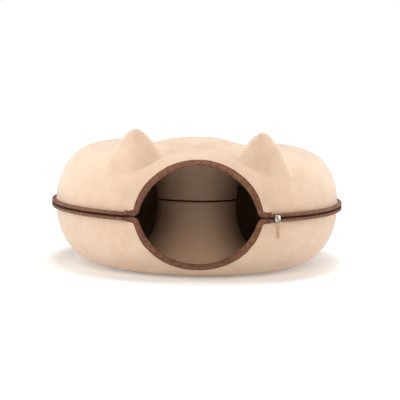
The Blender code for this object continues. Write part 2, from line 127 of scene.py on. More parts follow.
# Each side's slope, rounding and curl, then how long face and back are, their taper and power
EAR_OUTER = (2.15, 0.052, 2.8)
EAR_INNER = (1.7, 0.052, -3.0)
EAR_FACE = (0.020, 4.5, 1)
EAR_BACK = (0.062, 4.0, 2)

# Strip that closes the seam round the middle column
STRIP_THICKNESS = 0.0016
STRIP_CLEARANCE = 0.0003
STRIP_STEPS = 192
STRIP_SHAPE = ((-1.0, -0.6), (-0.7, -1.0), (0.7, -1.0), (1.0, -0.6), (1.25, 0.0), (1.0, 0.6),
               (0.7, 1.0), (-0.7, 1.0), (-1.0, 0.6), (-1.25, 0.0))

# Zip coil
COIL_STRIP = 0.0020
COIL_INNER = 0.0045
COIL_OUTER = 0.0100
TOOTH_PITCH = 0.0022
TOOTH_WIRE = 0.00055
TOOTH_REACH = 0.0008
COIL_OUT = 0.0106
TOOTH_START_RISE = 0.5
TOOTH_END_RISE = 0.9

# Zip slider: rings of its head as size and depth, and the line of its bridge as out and up
SLIDER_ANGLE = math.radians(29.4)
PACKED_TAPE_GAP = 0.0006
SLIDER_STANDOFF = 0.0003
SLIDER_HALF_WIDTH = 0.0063
SLIDER_HALF_HEIGHT = 0.0067
SLIDER_POWER = 2.5
SLIDER_STEPS = 40
SLIDER_RINGS = ((0.90, 0.0000), (0.98, 0.0004), (1.00, 0.0010), (1.00, 0.0017), (0.96, 0.0022),
                (0.88, 0.0025), (0.76, 0.0026), (0.56, 0.0025), (0.47, 0.0022), (0.44, 0.0015),
                (0.42, 0.0008))
BRIDGE_LINE = ((0.0018, 0.0050), (0.0038, 0.0049), (0.0050, 0.0042), (0.0055, 0.0028),
               (0.0056, 0.0010), (0.0054, -0.0008), (0.0048, -0.0021), (0.0036, -0.0027),
               (0.0018, -0.0028))
BRIDGE_HALF_WIDTH = 0.0016
BRIDGE_HALF_WALL = 0.00045
BRIDGE_STEPS = 12

# Stitches, and the loose threads at the cut ends of the arch's tape
STITCH_PITCH = 0.0034
STITCH_LENGTH = 0.0026
THREAD = 0.00028
THREAD_SHAPE = ((0.14, 0.8), (0.5, 1.0), (0.86, 0.8))
THREAD_SIDES = 6
FINE_SIDES = 5
STITCH_INSET = 0.0022
LIP_STITCH_INSET = STITCH_INSET * 0.8
STITCH_OVER = HALF_FELT + TAPE_GAP + TAPE + THREAD * 0.4
FRAYS = 16
FRAY_LENGTH = 0.0032
FRAY_LEAST = 0.45
FRAY_ROOT = 0.0006
FRAY_RISE = 0.7
FRAY_SLANT = 0.5
FRAY_THREAD = 0.00014

# Mesh steps, the small turn that slopes are measured over, and what counts as on the floor
NEAR = 0.002
FLOOR_NEAR = 0.00001
FINER = 4
ARCH_STEPS = 10 * FINER
CORNER_STEPS = 3 * FINER
TAIL_STEPS = FINER
TWIST_STEPS = 2 * FINER
EAR_STEPS = 6 * FINER
BACK_STEPS = 12 * FINER
INNER_ROWS = 30
EAR_ZONE_END = math.radians(50)
EDGE_ROWS = (0.0, 0.008, 0.016, 0.026)
CREST_CROWDING = 0.45


def smoothstep(value):
    value = min(max(value, 0.0), 1.0)
    return value * value * (3 - 2 * value)


class Half:
    """One moulded half of the ring, seen from one side: 1 is the right side and -1 the left.

    Heights in it are measured away from the zip line, and angles away from the entrance."""

    def __init__(self, sign, height, opening, has_ears, outer_rows, side):
        self.sign = sign
        self.side = side
        self.height = height
        self.has_ears = has_ears
        self.outer_rows = outer_rows
        self.arch_radius = (ARCH_HALF_WIDTH ** 2 + opening ** 2) / (2 * opening)
        self.arch_centre = opening - self.arch_radius


UPPER_HEIGHT = TOP_HEIGHT - SEAM_HEIGHT - HALF_FELT
LOWER_HEIGHT = SEAM_HEIGHT - HALF_FELT + FLOOR_PRESS
UPPER = [Half(1, UPPER_HEIGHT, ARCH_RISE, True, 56, side) for side in (1, -1)]
LOWER = [Half(-1, LOWER_HEIGHT, ARCH_DROP, False, 40, side) for side in (1, -1)]

WALL_RADIUS = OUTER_RADIUS - HALF_FELT
OUTER_REACH = WALL_RADIUS - CREST_RADIUS
INNER_REACH = CREST_RADIUS - HOLE_RADIUS - HALF_FELT


def profile(half, angle):
    """Radius and height of the felt's middle layer. The angle is 0 at the zip, pi at the hole."""
    across = math.cos(angle)
    up = math.sin(angle)
    reach = OUTER_REACH if across > 0 else INNER_REACH
    total = abs(across / reach) ** PROFILE_POWER + abs(up / half.height) ** PROFILE_POWER
    length = total ** (-1 / PROFILE_POWER)
    return CREST_RADIUS + length * across, length * up


def wall_radius(half, height):
    """Radius of the outer wall's middle layer at a height from the zip line."""
    rest = 1 - (height / half.height) ** PROFILE_POWER
    return CREST_RADIUS + OUTER_REACH * rest ** (1 / PROFILE_POWER)


def top_change(theta):
    """How much the top of the upper half lies over or under its even height at this angle."""
    degrees = math.degrees(math.atan2(math.sin(theta), math.cos(theta)))
    change = BACK_RISE * (1 - math.cos(theta)) / 2 - RIGHT_FALL * max(math.sin(theta), 0.0) ** 2
    for place_round, width, depth in TOP_DIPS:
        change -= depth * math.exp(-((degrees - place_round) / width) ** 2)
    return change


def top_at(radius):
    """Height over the floor of the upper half's middle layer at a radius from the axis."""
    across = radius - CREST_RADIUS
    reach = OUTER_REACH if across > 0 else INNER_REACH
    rest = max(1 - (abs(across) / reach) ** PROFILE_POWER, 0.0)
    return SEAM_HEIGHT + UPPER_HEIGHT * rest ** (1 / PROFILE_POWER)


def ear_lift(x, y):
    """How far the ear over this point raises the upper half."""
    tip_height = LEFT_EAR_TIP_HEIGHT if x < 0 else RIGHT_EAR_TIP_HEIGHT
    tip_height -= HALF_FELT
    from_x = abs(x) - EAR_TIP_X
    from_y = y - EAR_TIP_Y
    forward = from_x * EAR_SIN - from_y * EAR_COS
    outward = from_x * EAR_COS + from_y * EAR_SIN
    if outward > EAR_OUTER_END or outward < -EAR_INNER_END:
        return 0.0
    slope, rounding, curl = EAR_OUTER if outward > 0 else EAR_INNER
    crest_forward = curl * outward ** 2
    crest_x = EAR_TIP_X + crest_forward * EAR_SIN + outward * EAR_COS
    crest_y = EAR_TIP_Y - crest_forward * EAR_COS + outward * EAR_SIN
    crest_height = tip_height - (math.hypot(rounding, slope * outward) - rounding)
    crest_theta = math.atan2(math.copysign(crest_x, x), -crest_y)
    lift = crest_height - top_at(math.hypot(crest_x, crest_y)) - top_change(crest_theta)
    if lift <= 0:
        return 0.0
    ahead = forward - crest_forward
    length, taper, power = EAR_FACE if ahead > 0 else EAR_BACK
    length -= taper * outward ** 2
    part = math.hypot(ahead / length, EAR_CREST_ROUND) - EAR_CREST_ROUND
    return lift * (1 - part) ** power if part < 1 else 0.0


def place(half, theta, radius, height):
    """World point. Theta turns from the entrance (-Y) towards the half's side."""
    x = half.side * radius * math.sin(theta)
    y = -radius * math.cos(theta)
    z = SEAM_HEIGHT + half.sign * height
    if half.has_ears:
        z += top_change(half.side * theta) * max(height / half.height, 0.0) ** TOP_CHANGE_POWER
        if height > LIP_ROOT:
            z += ear_lift(x, y)
    else:
        z = max(z, HALF_FELT)
    return Vector((x, y + AXIS_Y, z))


def surface(half, theta, angle):
    radius, height = profile(half, angle)
    return place(half, theta, radius, height)


def surface_normal(half, theta, angle):
    around = surface(half, theta + NEAR, angle) - surface(half, theta - NEAR, angle)
    along = surface(half, theta, angle + NEAR) - surface(half, theta, angle - NEAR)
    return around.cross(along).normalized() * half.sign * half.side


def angle_at(half, height):
    return math.atan2(height, wall_radius(half, height) - CREST_RADIUS)


def entrance_edge(half):
    """The felt's edge from the middle of the arch to the end of the tail, as x and height."""
    centre_height = EDGE_CLEARANCE + CORNER_RADIUS
    rise = centre_height - half.arch_centre
    centre_x = math.sqrt((half.arch_radius + CORNER_RADIUS) ** 2 - rise ** 2)
    last = math.atan2(rise, centre_x)
    edge = []
    for step in range(ARCH_STEPS + 1):
        turn = math.pi / 2 + (last - math.pi / 2) * step / ARCH_STEPS
        edge.append((half.arch_radius * math.cos(turn),
                     half.arch_centre + half.arch_radius * math.sin(turn)))
    first = last - math.pi
    for step in range(1, CORNER_STEPS + 1):
        turn = first + (-math.pi / 2 - first) * step / CORNER_STEPS
        edge.append((centre_x + CORNER_RADIUS * math.cos(turn),
                     centre_height + CORNER_RADIUS * math.sin(turn)))
    for step in range(1, TAIL_STEPS + 1):
        edge.append((centre_x + TAIL_LENGTH * step / TAIL_STEPS, EDGE_CLEARANCE))
    return edge


def edge_theta(half, x, height):
    return math.asin(x / wall_radius(half, height))


def lip_turns(half):
    """Angles round the ring behind the tail, each with how far the lip has turned outward."""
    start = edge_theta(half, *entrance_edge(half)[-1])
    turns = []
    for step in range(1, TWIST_STEPS + 1):
        part = step / TWIST_STEPS
        turns.append((start + part * TWIST_LENGTH / WALL_RADIUS, math.pi / 2 * part))
    twist_end = turns[-1][0]
    for step in range(1, EAR_STEPS + 1):
        part = step / EAR_STEPS
        turns.append((twist_end + (EAR_ZONE_END - twist_end) * part, math.pi / 2))
    for step in range(1, BACK_STEPS + 1):
        turns.append((EAR_ZONE_END + (math.pi - EAR_ZONE_END) * step / BACK_STEPS, math.pi / 2))
    return turns


def lip_edge(turn):
    """Radius and height of the lip's edge at this turn, and which way its edge points."""
    radius = WALL_RADIUS + LIP_REACH * math.sin(turn)
    height = EDGE_CLEARANCE + (LIP_HEIGHT - EDGE_CLEARANCE) * (1 - math.cos(turn))
    return radius, height, (math.sin(turn), -math.cos(turn))


def curve_between(before, start, end, after, part):
    """A point between start and end on a smooth curve through all four."""
    return 0.5 * ((2 * start) + (end - before) * part
                  + (2 * before - 5 * start + 4 * end - after) * part ** 2
                  + (3 * start - before - 3 * end + after) * part ** 3)


def finer_rows(points):
    """Points in small steps on a smooth curve through the given ones, apart from the last one."""
    rows = []
    for number in range(len(points) - 2):
        before = points[max(number - 1, 0)]
        for step in range(FINER):
            rows.append(curve_between(before, points[number], points[number + 1],
                                      points[number + 2], step / FINER))
    rows.append(points[-2])
    return rows


def lip_start(half, theta, turn):
    """The felt's first rows from the lip's edge to the wall."""
    radius, height, (out, up) = lip_edge(turn)
    bend_height = LIP_BEND_STRAIGHT + (LIP_BEND_RISE - LIP_BEND_STRAIGHT) * math.sin(turn)
    over_root = 2 * LIP_ROOT
    return finer_rows([
        place(half, theta, radius, height),
        place(half, theta, radius - LIP_FLAT * out, height - LIP_FLAT * up),
        place(half, theta, WALL_RADIUS + LIP_BEND_OUT * math.sin(turn), bend_height),
        place(half, theta, wall_radius(half, LIP_ROOT), LIP_ROOT),
        place(half, theta, wall_radius(half, over_root), over_root)])


def arch_start(half, theta, angle, reach):
    """The felt's first rows above the entrance, and the angle of the last one."""
    radius, height = profile(half, angle)
    near_radius, near_height = profile(half, angle + NEAR)
    per_length = NEAR / math.hypot(near_radius - radius, near_height - height)
    rows = []
    for before, after in zip(EDGE_ROWS, EDGE_ROWS[1:]):
        for step in range(FINER):
            distance = before + (after - before) * step / FINER
            rows.append(angle + per_length * distance * reach)
    rows.append(angle + per_length * EDGE_ROWS[-1] * reach)
    return [surface(half, theta, row) for row in rows], rows[-1]


def row_reach(number):
    """How far the felt's first rows reach in this column: less at the tail, to meet the lip's."""
    at_tail = (LIP_ROOT - EDGE_CLEARANCE) / EDGE_ROWS[-1]
    return 1 + (at_tail - 1) * smoothstep((number - ARCH_STEPS) / (CORNER_STEPS + TAIL_STEPS))


def hole_seam(theta):
    """Height of the seam in the hole over the zip line."""
    return HOLE_SEAM_RISE + HOLE_SEAM_FRONT_RISE * math.cos(theta)


def hole_end_angle(half, theta):
    """Profile angle at the half's edge in the hole."""
    return math.pi - math.atan2(hole_seam(theta) * half.sign + HOLE_GAP / 2, INNER_REACH)


def crest_angles(half):
    """Profile angles where the wall from outside ends and the wall to the hole begins.

    The upper half's meet on the crest, and the lower half's have its flat foot between them."""
    if half.has_ears:
        return math.pi / 2, math.pi / 2
    ends = []
    for reach in (OUTER_REACH, -INNER_REACH):
        rest = 1 - (FLOOR_FLAT / abs(reach)) ** PROFILE_POWER
        height = half.height * rest ** (1 / PROFILE_POWER)
        ends.append(math.atan2(height, math.copysign(FLOOR_FLAT, reach)))
    return ends


def wall_column(half, theta, start, spread_theta):
    """Points of one column from the profile angle start over the crest to the hole."""
    hole_end = hole_end_angle(half, spread_theta)
    crest, hole_start = crest_angles(half)
    points = []
    for row in range(1, half.outer_rows + 1):
        part = row / half.outer_rows
        crowded = part + CREST_CROWDING * math.sin(2 * math.pi * part) / (2 * math.pi)
        angle = start + (crest - start) * crowded
        points.append(surface(half, theta + (spread_theta - theta) * smoothstep(part), angle))
    for row in range(1 if half.has_ears else 0, INNER_ROWS + 1):
        angle = hole_start + (hole_end - hole_start) * row / INNER_ROWS
        points.append(surface(half, spread_theta, angle))
    return points


def side_columns(half):
    """Columns of the felt's middle layer from the middle of the arch round to the back."""
    starts = []
    for x, height in entrance_edge(half):
        starts.append((edge_theta(half, x, height), angle_at(half, height), None))
    for theta, turn in lip_turns(half):
        starts.append((theta, angle_at(half, LIP_ROOT), turn))
    near = len(starts) - BACK_STEPS
    columns = []
    for number, (theta, angle, turn) in enumerate(starts):
        spread = EAR_ZONE_END * number / (near - 1) if number < near else theta
        if turn is None:
            first, root = arch_start(half, theta, angle, row_reach(number))
        else:
            first = lip_start(half, theta, turn)
            root = angle
        columns.append(first + wall_column(half, theta, root, spread))
    return columns


def wave_at(point, from_edge):
    """Small rise or fall of the felt, none near its edge."""
    strength = smoothstep((from_edge - WAVE_START) / (WAVE_FULL - WAVE_START))
    return WAVE * strength * noise.noise(point / WAVE_SIZE)


def grid_normals(half, columns):
    """Outward normal of the middle layer at each grid point."""
    count = len(columns)
    normals = []
    for column in range(count):
        points = columns[column]
        before = columns[column - 1]
        after = columns[(column + 1) % count]
        line = []
        for row in range(len(points)):
            if points[row].z < HALF_FELT + FLOOR_NEAR:
                line.append(Vector((0, 0, half.sign)))
                continue
            along = points[min(row + 1, len(points) - 1)] - points[max(row - 1, 0)]
            line.append((after[row] - before[row]).cross(along).normalized() * half.sign)
        normals.append(line)
    return normals


def felt_half(name, sides):
    """The felt as a closed sheet: an outer and an inner layer, joined at both edges."""
    right, left = [side_columns(half) for half in sides]
    columns = right + left[-2:0:-1]
    normals = grid_normals(sides[0], columns)
    lines = []
    for points, across in zip(columns, normals):
        walked = 0.0
        shifted = []
        for row, point in enumerate(points):
            if row:
                walked += (point - points[row - 1]).length
            lift = wave_at(point, walked)
            if not sides[0].has_ears and point.z < FOOT_ZONE:
                lift = 0.0
            shifted.append(point + across[row] * lift)
        outer = [point + normal * HALF_FELT for point, normal in zip(shifted, across)]
        inner = [point - normal * HALF_FELT for point, normal in zip(shifted, across)]
        lines.append(outer + rim(shifted, across[-1]) + inner[::-1])
    return grid_object(name, lines, closed=True)


def rim(points, normal):
    """The rounded edge in the hole, from the outer layer to the inner one."""
    ahead = (points[-1] - points[-2]).normalized()
    return [points[-1] + normal * HALF_FELT * math.sin(turn) + ahead * RIM_ROUND * math.cos(turn)
            for turn in map(math.radians, RIM_DEGREES)]


def add_object(name, data):
    item = bpy.data.objects.new(name, data)
    bpy.context.collection.objects.link(item)
    return item


def grid_object(name, lines, section=None, closed=False):
    """A mesh from rings of points. Closed joins the last ring to the first, without end caps."""
    mesh = bpy.data.meshes.new(name)
    size = len(lines[0])
    count = len(lines)
    points = [point for line in lines for point in line]
    faces = []
    for ring in range(count if closed else count - 1):
        near = ring * size
        far = (ring + 1) % count * size
        for side in range(size):
            after = (side + 1) % size
            faces.append((near + side, far + side, far + after, near + after))
    if not closed:
        faces.append(tuple(range(size)))
        faces.append(tuple(reversed(range((count - 1) * size, count * size))))
    mesh.from_pydata([tuple(point) for point in points], [], faces)
    work = bmesh.new()
    work.from_mesh(mesh)
    bmesh.ops.recalc_face_normals(work, faces=work.faces)
    work.to_mesh(mesh)
    work.free()
    mesh.shade_smooth()
    if section:
        add_uv(mesh, lines, section_lengths(section))
    return add_object(name, mesh)


def add_uv(mesh, lines, across):
    """Lays the weave along the tape: u is the length walked and v the place in the section."""
    walked = [0.0]
    for before, after in zip(lines, lines[1:]):
        walked.append(walked[-1] + (after[0] - before[0]).length)
    size = len(lines[0])
    layer = mesh.uv_layers.new(name="weave")
    for loop in mesh.loops:
        ring, side = divmod(loop.vertex_index, size)
        layer.data[loop.index].uv = (walked[ring], across[side])


def felt_at(half, point):
    """The felt's middle layer nearest to a point beside it, and its normal."""
    x = point.x
    y = point.y - AXIS_Y
    theta = math.atan2(x * half.side, -y)
    height = (point.z - SEAM_HEIGHT) * half.sign
    angle = math.atan2(height, math.hypot(x, y) - CREST_RADIUS)
    return surface(half, theta, angle), surface_normal(half, theta, angle)


def tape_section(width, inside):
    """Cross-section of a tape folded over the felt: distance past the edge, and across the felt.

    It runs from the outer leg's end round the fold to the inner leg's end, and back inside."""
    near = HALF_FELT + TAPE_GAP
    far = near + TAPE
    outer = [(-width, near + LEG_END_ROUND), (-width, far - LEG_END_ROUND)]
    for part in reversed(LEG_PARTS):
        outer.append((-width * part, far + LEG_BULGE * math.sin(math.pi * part)))
    outer += fold_round(TAPE_GAP + TAPE, far, FOLD_DEGREES)
    for part in LEG_PARTS:
        outer.append((-inside * part, -far))
    inner = [(-inside, -far + LEG_END_ROUND), (-inside, -near - LEG_END_ROUND)]
    for part in reversed(LINING_PARTS):
        inner.append((-inside * part, -near))
    inner += fold_round(TAPE_GAP, near, LINING_DEGREES)
    for part in LINING_PARTS:
        inner.append((-width * part, near))
    return outer + inner


def fold_round(past_edge, half_height, all_degrees):
    """Points round the fold, from one face of the tape to the other."""
    back = half_height * FOLD_SHARE
    return [(-back + (past_edge + back) * math.cos(turn), half_height * math.sin(turn))
            for turn in map(math.radians, all_degrees)]


def section_lengths(section):
    walked = [0.0]
    for before, after in zip(section, section[1:]):
        walked.append(walked[-1] + math.hypot(after[0] - before[0], after[1] - before[1]))
    return walked


def arch_frames(half):
    """Places along the entrance's edge: the point, the way past the edge and the felt's normal."""
    places = [surface(half, edge_theta(half, x, height), angle_at(half, height))
              for x, height in entrance_edge(half)]
    frames = []
    for number, point in enumerate(places):
        before = places[number - 1] if number else places[0]
        after = places[min(number + 1, len(places) - 1)]
        tangent = (after - before).normalized() if number else Vector((half.side, 0, 0))
        normal = felt_at(half, point)[1]
        past = tangent.cross(normal) * half.sign * half.side
        frames.append((point, past, normal))
    return frames


def arch_width(number):
    """Width of the arch's tape at this step: narrower round the corner and at the tail's end."""
    narrowing = smoothstep((number - ARCH_STEPS + 3 * FINER) / (3 * FINER))
    width = ARCH_TAPE_WIDTH + (CORNER_TAPE_WIDTH - ARCH_TAPE_WIDTH) * narrowing
    past_corner = number - ARCH_STEPS - CORNER_STEPS
    if past_corner > 0:
        width += (TAIL_TAPE_WIDTH - CORNER_TAPE_WIDTH) * past_corner / TAIL_STEPS
    return width


def on_tape(half, frame_here, along, across):
    point, past, normal = frame_here
    if along < 0:
        base, base_normal = felt_at(half, point + past * along)
        return base + base_normal * across
    return point + past * along + normal * across


def wobble(point, seed):
    """How uneven the tape lies here."""
    return TAPE_WOBBLE * noise.noise(point / TAPE_WOBBLE_SIZE + Vector((seed, 0, 0)))


def lifted(across, lift):
    """Raises the tape's outer faces and leaves what lies inside the fold."""
    return across + math.copysign(lift, across) if abs(across) > HALF_FELT + TAPE else across


def arch_rings(half, seed):
    rings = []
    for number, here in enumerate(arch_frames(half)):
        width = arch_width(number) + ARCH_WIDTH_WOBBLE * wobble(here[0], seed)
        lift = max(wobble(here[0], seed + ARCH_LIFT_SEED), 0.0)
        rings.append([on_tape(half, here, along, lifted(across, lift))
                      for along, across in tape_section(width, min(width, ARCH_TAPE_INSIDE))])
    return rings


def arch_binding(name, sides, seed):
    right, left = [arch_rings(half, seed) for half in sides]
    section = tape_section(ARCH_TAPE_WIDTH, ARCH_TAPE_INSIDE)
    return grid_object(name, left[:0:-1] + right, section)


def lip_frames(half):
    """Places along the lip's edge: the angle round the ring, the radius and the height."""
    return [(theta, *lip_edge(turn)[:2]) for theta, turn in lip_turns(half)[TWIST_STEPS - 1:]]


def lip_rings(half, section, seed):
    rings = []
    for theta, radius, height in lip_frames(half):
        here = place(half, theta, radius, height)
        push = wobble(here, seed)
        lift = max(wobble(here, seed + LIP_LIFT_SEED), 0.0)
        rings.append([place(half, theta, radius + along + push, height + lifted(across, lift))
                      for along, across in section])
    return rings


def zip_tape(name, sides, seed):
    section = tape_section(LIP_TAPE_WIDTH, LIP_TAPE_WIDTH)
    right, left = [lip_rings(half, section, seed) for half in sides]
    return grid_object(name, right + left[-2::-1], section)


def down_column(points, normals, distance):
    """The felt's middle layer this far from its edge in a column, and its normal."""
    for number in range(len(points) - 1):
        length = (points[number + 1] - points[number]).length
        if distance <= length:
            share = distance / length
            return (points[number].lerp(points[number + 1], share),
                    normals[number].lerp(normals[number + 1], share).normalized())
        distance -= length
    return points[-1], normals[-1]


def joint_tape(name, half):
    """The zip tape's end, which turns with the felt's edge and goes under the arch tape's tail."""
    tail_end = ARCH_STEPS + CORNER_STEPS + TAIL_STEPS
    first = tail_end - 1
    last = tail_end + TWIST_STEPS + 1
    columns = side_columns(half)[first - 1:last + 2]
    normals = grid_normals(half, columns)
    section = tape_section(JOINT_TAPE_WIDTH, JOINT_TAPE_WIDTH)
    rings = []
    for number in range(1, len(columns) - 1):
        points = columns[number]
        across_here = [normal * half.side for normal in normals[number]]
        ahead = (points[0] - points[1]).normalized()
        thinning = JOINT_UNDER if number in (1, len(columns) - 2) else 1.0
        ring = []
        for along, across in section:
            base, normal = down_column(points, across_here, max(-along, 0.0))
            ring.append(base + ahead * max(along, 0.0) + normal * across * thinning)
        rings.append(ring)
    return grid_object(name, rings, section)


def coil_strip(name):
    """The zip's woven middle that the coil is sewn to, between the two tapes."""
    half_thickness = COIL_STRIP / 2
    section = [(COIL_INNER, -half_thickness), (COIL_OUTER - half_thickness, -half_thickness),
               (COIL_OUTER, 0.0), (COIL_OUTER - half_thickness, half_thickness),
               (COIL_INNER, half_thickness)]
    right, left = [[[place(half, theta, WALL_RADIUS + out, up) for out, up in section]
                    for theta, _, _ in lip_frames(half)] for half in LOWER]
    return grid_object(name, right + left[-2::-1], section)


def seam_strip(name):
    """The strip that closes the seam round the middle column, a little proud in its middle."""
    half_height = HOLE_GAP / 2 - STRIP_CLEARANCE
    middle = HOLE_RADIUS + HALF_FELT
    section = [(out * STRIP_THICKNESS / 2, up * half_height) for out, up in STRIP_SHAPE]
    rings = []
    for step in range(STRIP_STEPS):
        theta = 2 * math.pi * step / STRIP_STEPS
        rings.append([Vector(((middle + out) * math.sin(theta),
                              AXIS_Y - (middle + out) * math.cos(theta),
                              SEAM_HEIGHT + hole_seam(theta) + up)) for out, up in section])
    return grid_object(name, rings, section, closed=True)


def capsule(points, faces, start, end, radius, sides):
    """Adds a short thread with pointed ends to the lists of points and faces."""
    axis = (end - start).normalized()
    side_way = axis.orthogonal().normalized()
    up_way = axis.cross(side_way)
    length = (end - start).length
    base = len(points)
    points.append(start)
    for part, size in THREAD_SHAPE:
        for side in range(sides):
            turn = 2 * math.pi * side / sides
            points.append(start + axis * length * part
                          + (side_way * math.cos(turn) + up_way * math.sin(turn)) * radius * size)
    points.append(end)
    last = len(points) - 1
    for side in range(sides):
        after = (side + 1) % sides
        faces.append((base, base + 1 + after, base + 1 + side))
        for ring in range(len(THREAD_SHAPE) - 1):
            near = base + 1 + ring * sides
            faces.append((near + side, near + after, near + sides + after, near + sides + side))
        faces.append((last, last - sides + side, last - sides + after))


def thread_object(name, threads, radius, sides):
    """One piece of loose threads, each given by its start and its end."""
    points = []
    faces = []
    for start, end in threads:
        capsule(points, faces, start, end, radius, sides)
    mesh = bpy.data.meshes.new(name)
    mesh.from_pydata([tuple(point) for point in points], [], faces)
    mesh.shade_smooth()
    return add_object(name, mesh)


def walk(line, pitch):
    """Pairs of place number and share along a line of points, one pitch apart."""
    places = []
    left = pitch / 2
    for number in range(len(line) - 1):
        length = (line[number + 1] - line[number]).length
        while left < length:
            places.append((number, left / length))
            left += pitch
        left -= length
    return places


def stitches(line):
    """Starts and ends of the stitches along a line of points."""
    ends = []
    for number, share in walk(line, STITCH_PITCH):
        middle = line[number].lerp(line[number + 1], share)
        ahead = (line[number + 1] - line[number]).normalized() * STITCH_LENGTH / 2
        ends.append((middle - ahead, middle + ahead))
    return ends


def arch_stitches(name, sides):
    """The seams that hold the arch's tape, one on each face of the felt."""
    threads = []
    for half in sides:
        outer = []
        inner = []
        for number, here in enumerate(arch_frames(half)):
            width = arch_width(number)
            outer.append(on_tape(half, here, -width + STITCH_INSET, STITCH_OVER))
            inner.append(on_tape(half, here, -min(width, ARCH_TAPE_INSIDE) + STITCH_INSET,
                                 -STITCH_OVER))
        threads += stitches(outer) + stitches(inner)
    return thread_object(name, threads, THREAD, THREAD_SIDES)


def lip_stitches(name, sides):
    """The seam that holds the zip tape."""
    threads = []
    for half in sides:
        threads += stitches([
            place(half, theta, radius - LIP_TAPE_WIDTH + LIP_STITCH_INSET, height + STITCH_OVER)
            for theta, radius, height in lip_frames(half)])
    return thread_object(name, threads, THREAD, THREAD_SIDES)


def zip_teeth():
    """Interlocked coil turns between the two tapes."""
    threads = []
    for half in LOWER:
        line = [place(half, theta, WALL_RADIUS + COIL_OUT, 0.0) for theta, _, _ in lip_frames(half)]
        for number, share in walk(line, TOOTH_PITCH / 2):
            middle = line[number].lerp(line[number + 1], share)
            ahead = (line[number + 1] - line[number]).normalized()
            out = Vector((ahead.y, -ahead.x, 0)).normalized() * half.side
            lean = TOOTH_WIRE if len(threads) % 2 == 0 else -TOOTH_WIRE
            threads.append((middle - out * TOOTH_REACH + Vector((0, 0, lean * TOOTH_START_RISE)),
                            middle + out * TOOTH_REACH + Vector((0, 0, lean * TOOTH_END_RISE))))
    return thread_object("coil_teeth", threads, TOOTH_WIRE, FINE_SIDES)


def slider_point(across, out, up):
    """World point beside the slider: across along the zip, out from the axis, up from the zip."""
    radius = WALL_RADIUS + LIP_REACH + PACKED_TAPE_GAP + TAPE + SLIDER_STANDOFF + out
    return Vector((radius * math.sin(SLIDER_ANGLE) + across * math.cos(SLIDER_ANGLE),
                   AXIS_Y - radius * math.cos(SLIDER_ANGLE) + across * math.sin(SLIDER_ANGLE),
                   SEAM_HEIGHT + up))


def slider_body(name):
    """The slider's rounded head, with the hollow in its face that the bridge stands over."""
    rings = []
    for size, out in SLIDER_RINGS:
        ring = []
        for step in range(SLIDER_STEPS):
            turn = 2 * math.pi * step / SLIDER_STEPS
            wide, high = [size * math.copysign(abs(way) ** (2 / SLIDER_POWER), way)
                          for way in (math.cos(turn), math.sin(turn))]
            ring.append(slider_point(wide * SLIDER_HALF_WIDTH, out, high * SLIDER_HALF_HEIGHT))
        rings.append(ring)
    return grid_object(name, rings)


def slider_bridge(name):
    """The bent strip on the slider's face that holds the wire loop."""
    rings = []
    for number, (out, up) in enumerate(BRIDGE_LINE):
        before = BRIDGE_LINE[max(number - 1, 0)]
        after = BRIDGE_LINE[min(number + 1, len(BRIDGE_LINE) - 1)]
        along = Vector((after[0] - before[0], after[1] - before[1])).normalized()
        ring = []
        for step in range(BRIDGE_STEPS):
            turn = 2 * math.pi * step / BRIDGE_STEPS
            wall = BRIDGE_HALF_WALL * math.sin(turn)
            ring.append(slider_point(BRIDGE_HALF_WIDTH * math.cos(turn), out + wall * along.y,
                                     up - wall * along.x))
        rings.append(ring)
    return grid_object(name, rings)


def frayed_ends(name, sides, seed):
    """Short loose threads at the cut ends of the arch's tape."""
    threads = []
    for half in sides:
        frames = arch_frames(half)
        point, past, normal = frames[-1]
        ahead = (point - frames[-2][0]).normalized()
        for number in range(FRAYS):
            key = Vector((number * 3.7, seed, half.side * 2.3))
            spread = noise.noise_vector(key)
            along = -TAIL_TAPE_WIDTH * (number + 0.5) / FRAYS
            root = on_tape(half, frames[-1], along, HALF_FELT + TAPE_GAP + TAPE / 2)
            root -= ahead * FRAY_ROOT
            length = FRAY_LENGTH * (FRAY_LEAST + abs(noise.noise(key * 1.7)))
            aside = (normal * FRAY_RISE + past * spread.x) * length * FRAY_SLANT
            threads.append((root, root + ahead * length + aside))
    return thread_object(name, threads, FRAY_THREAD, FINE_SIDES)


# Materials: noises as scale, detail and roughness, fibres as scale and width, bumps as strength
# and height

WHITE = (1.0, 1.0, 1.0)
FELT_LIGHT = (0.800, 0.658, 0.541)
FELT_MIDDLE = (0.760, 0.604, 0.481)
FELT_DARK = (0.718, 0.558, 0.434)
FELT_FIBRE_LIGHT = (0.915, 0.835, 0.755)
FELT_FIBRE_DARK = (0.590, 0.443, 0.332)
FELT_MOTTLING = (26.0, 5.0, 0.62)
FELT_BROAD = (5.0, 2.0)
FELT_FUZZ = (900.0, 5.0, 0.7)
FELT_CLUMPS = (150.0, 4.0, 0.6)
LIGHT_FIBRES = (330.0, 0.035)
DARK_FIBRES = (210.0, 0.022)
FELT_BUMP = (0.5, 0.0006)
WEAVE_MOTTLING = (120.0, 5.0, 0.65)
WEAVE_FUZZ = (420.0, 0.03)
WEAVE_BUMP = (0.6, 0.0004)
THREAD_GRAIN = (700.0, 3.0)
THREAD_BUMP = (0.4, 0.0002)


def set_inputs(node, **values):
    for name, value in values.items():
        node.inputs[name.replace("_", " ")].default_value = value


def new_material(name, roughness, metallic=0.0, sheen=0.0):
    material = bpy.data.materials.new(name)
    material.use_nodes = True
    shader = material.node_tree.nodes["Principled BSDF"]
    set_inputs(shader, Roughness=roughness, Metallic=metallic, Sheen_Weight=sheen)
    return material, shader


def add_node(material, kind, **values):
    node = material.node_tree.nodes.new(kind)
    for name, value in values.items():
        setattr(node, name, value)
    return node


def link(material, output, socket):
    material.node_tree.links.new(output, socket)


def object_places(material):
    return add_node(material, "ShaderNodeTexCoord").outputs["Object"]


